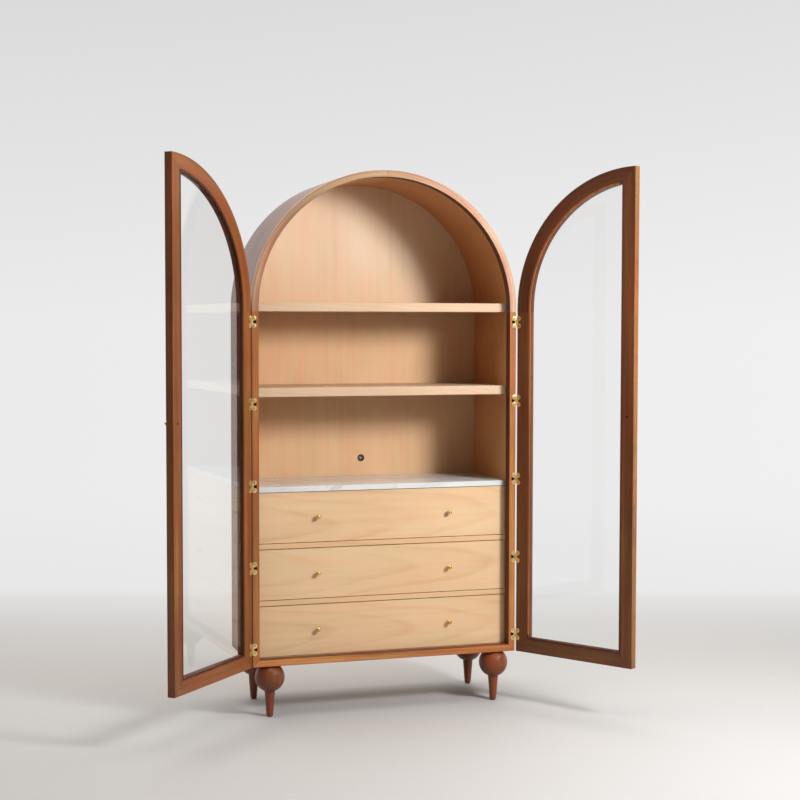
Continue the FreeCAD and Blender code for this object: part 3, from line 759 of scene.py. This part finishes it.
BARREL_SIDE = -HINGE_X + 0.0006  # where a left leaf begins
PETAL_X = -HINGE_X + 0.0085
PETALS = (-0.0145, 0.0145)
LEAF_THICKNESS, WEB_THICKNESS, LEAF_EASE = 0.0015, 0.0012, 0.0003
DOOR_KNOB_X, DOOR_KNOB_Z = -0.030, 1.165  # on the left door, closed
CORNERS = ((-1, -1), (1, -1), (1, 1), (-1, 1))
BOX_FACES = ((0, 1, 2, 3), (7, 6, 5, 4), (0, 4, 5, 1), (1, 5, 6, 2), (2, 6, 7, 3), (3, 7, 4, 0))


def hinge_matrix(side, angle, level):
    """From the left hinge, drawn closed about level 0, to a side's hinge, swung by an angle."""
    pivot = Vector((side * HINGE_X, HINGE_Y, 0))
    mirror = Matrix.Scale(-1, 4, (1, 0, 0)) if side > 0 else Matrix.Identity(4)
    swing = Matrix.Translation(pivot) @ Matrix.Rotation(angle, 4, "Z") @ Matrix.Translation(-pivot)
    return Matrix.Translation((0, 0, level)) @ swing @ mirror


def screw(bm, spot, along, radius, turn):
    """A countersunk screw's head: a low dome, and a cross recess in the second material."""
    spot, along = Vector(spot), Vector(along).normalized()
    dome = [(radius, -0.0002), (radius, 0.0002), (radius * 0.86, 0.00045), (radius * 0.5, 0.0006)]
    made = lathe(bm, dome + [(0.0, 0.00065)], spot, along, 28)
    across = Matrix.Rotation(turn, 3, along) @ along.orthogonal().normalized()
    beside = along.cross(across)
    long, wide = radius * 0.62, radius * 0.13
    for a, b in ((across, beside), (beside, across)):
        base = spot + along * 0.00072
        corners = [base + a * sa * long + b * sb * wide for sa, sb in CORNERS]
        low = [c - along * 0.0003 for c in corners]
        verts = [bm.verts.new(c) for c in corners + low]
        for quad in BOX_FACES:
            bm.faces.new([verts[q] for q in quad]).material_index = 1
        made += verts
    return made


def leaf(bm, face, outward, matrix):
    """One hinge leaf: a web with a notch and two round petals, lying on a wood face."""
    low, high = sorted((face, face + outward * LEAF_THICKNESS))
    web = [
        (BARREL_SIDE, -0.0118),
        (PETAL_X + 0.001, PETALS[0]),
        (PETAL_X - 0.0005, -0.0062),
        (-HINGE_X + 0.0058, 0.0),
        (PETAL_X - 0.0005, 0.0062),
        (PETAL_X + 0.001, PETALS[1]),
        (BARREL_SIDE, 0.0118),
    ]
    verts = plate(bm, web, *sorted((face, face + outward * WEB_THICKNESS)), LEAF_EASE)
    for rise in PETALS:
        # the petal is cut off at the barrel's side, and the cut keeps its two ends
        rim = arc(PETAL_X, rise, 0.0098, [math.tau * k / 40 for k in range(40)])
        petal = [(max(x, BARREL_SIDE), z) for x, z in rim]
        petal = [p for k, p in enumerate(petal) if p != petal[k - 1]]
        beside = zip(petal[-1:] + petal[:-1], petal, petal[1:] + petal[:1])
        kept = [p for before, p, after in beside if not before[0] == p[0] == after[0]]
        verts |= plate(bm, kept, low, high, LEAF_EASE)
    moved(verts, matrix)


def knuckle(bm, low, high, matrix):
    """A round knuckle on the hinge axis, with eased ends."""
    moved(rod(bm, 0.0025, low, high, 0.0003, (-HINGE_X, HINGE_Y, 0), UP, 32), matrix)


def notch_painted_shadow(bm, matrix):
    """A near-black disc at the waist of a carcass hinge leaf, in the third material: a painted
    shadow in the notch.
    """
    rim = [(0.0001, 0.00022), (0.0056, 0.00026), (0.0066, 0.00030)]
    rim += [(0.0070, 0.00025), (0.0072, 0.0)]
    moved(lathe(bm, rim, (PETAL_X + 0.0034, 0, 0), FRONTWARDS, 32, 2), matrix)


def leaf_screws(bm, face, outward, matrix, seed):
    """The two screws of a hinge leaf, each turned by chance."""
    chance = random.Random(seed)
    for rise in PETALS:
        spot = (PETAL_X + 0.0008, face + outward * LEAF_THICKNESS, rise)
        moved(screw(bm, spot, (0, outward, 0), 0.0034, chance.uniform(0, 1.5)), matrix)


fixed, fixed_screws, pins = bmesh.new(), bmesh.new(), bmesh.new()
for hand, side in SIDES.items():
    swinging, swinging_screws = bmesh.new(), bmesh.new()
    for count, level in enumerate(HINGE_LEVELS):
        still = hinge_matrix(side, 0, level)
        swung = hinge_matrix(side, REST[hand], level)
        leaf(fixed, 0.0, -1, still)
        knuckle(fixed, 0.0046, 0.0120, still)
        knuckle(fixed, -0.0120, -0.0046, still)
        leaf_screws(fixed_screws, 0.0, -1, still, count + 10 * side)
        notch_painted_shadow(fixed_screws, still)
        leaf(swinging, DOOR_INNER, 1, swung)
        knuckle(swinging, -0.0042, 0.0042, swung)
        leaf_screws(swinging_screws, DOOR_INNER, 1, swung, count + 17 * side)
        rod(pins, 0.0012, -0.0120, 0.0120, 0.0003, (side * HINGE_X, HINGE_Y, level), UP, 16)
    door = hand + "_door"
    leaves = new_object(hand + "_door_brass_leaves", swinging, [satin_brass], door)
    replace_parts(leaves, hand + "_door_hinge_leaves")
    heads = [aged_brass, dark_steel]
    new_object(hand + "_door_hinge_screws", swinging_screws, heads, door)
leaves = new_object("carcass_brass_leaves", fixed, [satin_brass], "carcass")
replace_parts(leaves, "carcass_hinge_leaves")
heads = [aged_brass, dark_steel, dark_recess_and_shadow]
new_object("carcass_hinge_screws", fixed_screws, heads, "carcass")
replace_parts(new_object("hinge_pin_rods", pins, [aged_brass], "carcass"), "hinge_pins")

# Door knobs, and the screw that holds each one from the door's inner face
for hand, side in SIDES.items():
    swung = hinge_matrix(side, REST[hand], 0)
    bm = bmesh.new()
    knob(bm, (DOOR_KNOB_X, DOOR_OUTER, DOOR_KNOB_Z), 0.0079)
    moved(bm.verts, swung)
    turned = new_object(hand + "_door_brass_knob", bm, [brass], hand + "_door")
    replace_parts(turned, hand + "_door_knob")
    bm = bmesh.new()
    screw(bm, (DOOR_KNOB_X, DOOR_INNER, DOOR_KNOB_Z), BACKWARDS, 0.0042, 0.4)
    moved(bm.verts, swung)
    new_object(hand + "_door_knob_screw", bm, [dark_recess_and_shadow, dark_recess_and_shadow], hand + "_door")


# ---------------------------------------------------------------- back panel's fittings

# A rubber grommet in the cable hole: a lipped ring, and a thin skin with slits for a cable
HOLE_X, HOLE_Z = 0.010, 0.960
SKIN_PARTS, SLIT = 8, 0.02
bm = bmesh.new()
ring = [(0.0112, 0.4185), (0.0112, 0.4125), (0.0116, 0.4116), (0.0126, 0.4112)]
ring += [(0.0140, 0.4116), (0.0145, 0.4124), (0.0145, 0.4129), (0.0124, 0.4129)]
ring += [(0.0124, 0.4221), (0.0140, 0.4221), (0.0140, 0.4228), (0.0112, 0.4228)]
lathe(bm, ring + ring[:1], (HOLE_X, 0, HOLE_Z), BACKWARDS, 64, capped=False)
for n in range(SKIN_PARTS):
    start = math.tau * n / SKIN_PARTS + SLIT
    end = math.tau * (n + 1) / SKIN_PARTS - SLIT
    skin = arc(HOLE_X, HOLE_Z, 0.0115, [start + (end - start) * k / 6 for k in range(7)])
    skin += arc(HOLE_X, HOLE_Z, 0.0006, [(start + end) / 2])
    plate(bm, skin, 0.4160, 0.4168, 0.0002)
new_object("cable_hole_grommet", bm, [brown_rubber], "carcass")

# Screws that hold the back panel in its rebate
SCREW_REACH, BACK_FACE = 0.500, 0.422
bm = bmesh.new()
chance = random.Random(7)
heights = (0.26, 0.52, 0.78, 1.04, 1.30, 1.56)
spots = [(side * SCREW_REACH, z) for side in SIDES.values() for z in heights]
spots += arc(0, SPRING, SCREW_REACH, [math.radians(30 * n) for n in range(1, 6)])
spots += [(x, 0.218) for x in (-0.30, 0.0, 0.30)]
for x, z in spots:
    screw(bm, (x, BACK_FACE, z), BACKWARDS, 0.0036, chance.uniform(0, 1.5))
new_object("back_panel_screws", bm, [zinc, dark_steel], "carcass")


# ---------------------------------------------------------------- studio


def bowl():
    """A pale floor that turns up into a round backdrop."""
    flat, turn, top = 6.9, 1.4, 5.0
    profile = [(0.0, 0.0), (1.0, 0.0), (2.0, 0.0), (4.0, 0.0), (flat, 0.0)]
    profile += arc(flat, turn, turn, [math.radians(7.5 * n - 90) for n in range(1, 13)])
    bm = bmesh.new()
    lathe(bm, profile + [(flat + turn, top)], (0, 0, 0), UP, 96, capped=False)
    mesh_object("studio_floor", bm, [studio()])


def lamp(name, place, target, size, watts, colour):
    """A round soft lamp, which the camera doesn't see."""
    data = bpy.data.lights.new(name, "AREA")
    data.shape = "DISK"
    data.size = size
    data.energy = watts
    data.color = colour
    obj = bpy.data.objects.new(name, data)
    obj.location = place
    obj.rotation_euler = (Vector(target) - Vector(place)).to_track_quat("-Z", "Y").to_euler()
    obj.visible_camera = False
    scene.collection.objects.link(obj)
    return obj


bowl()

# The key lamp lights the surfaces, and a wider one in its place gives the highlights too
KEY_PLACE, CABINET_MIDDLE = (1.65, -2.2, 2.2), (0, 0, 1.0)
key = lamp("key_light", KEY_PLACE, CABINET_MIDDLE, 0.65, 90.0, (0.955, 0.99, 1.05))
key.visible_glossy = False
key_sheen = lamp("key_sheen", KEY_PLACE, CABINET_MIDDLE, 1.2, 38.0, (0.97, 0.99, 1.03))
for hidden in (key, key_sheen):
    hidden.visible_transmission = False
lamp("overhead_softbox", (0.0, 1.7, 4.9), (0, 1.7, 0), 8.0, 500.0, (1.0, 0.985, 0.965))

world = bpy.data.worlds.new("studio")
scene.world = world
world.use_nodes = True
background = world.node_tree.nodes["Background"]
background.inputs[0].default_value = (1.0, 0.95, 0.90, 1.0)
background.inputs[1].default_value = 0.12

# The photograph's viewpoint
camera_data = bpy.data.cameras.new("camera")
camera_data.sensor_width = 36.0
camera_data.lens = 69.976
camera = bpy.data.objects.new("camera", camera_data)
camera.location = (-1.7537, -5.7771, 1.5121)
tilt, roll, pan = 87.2244, -0.0746, -17.3458
camera.rotation_euler = Euler((math.radians(tilt), math.radians(roll), math.radians(pan)))
scene.collection.objects.link(camera)
scene.camera = camera
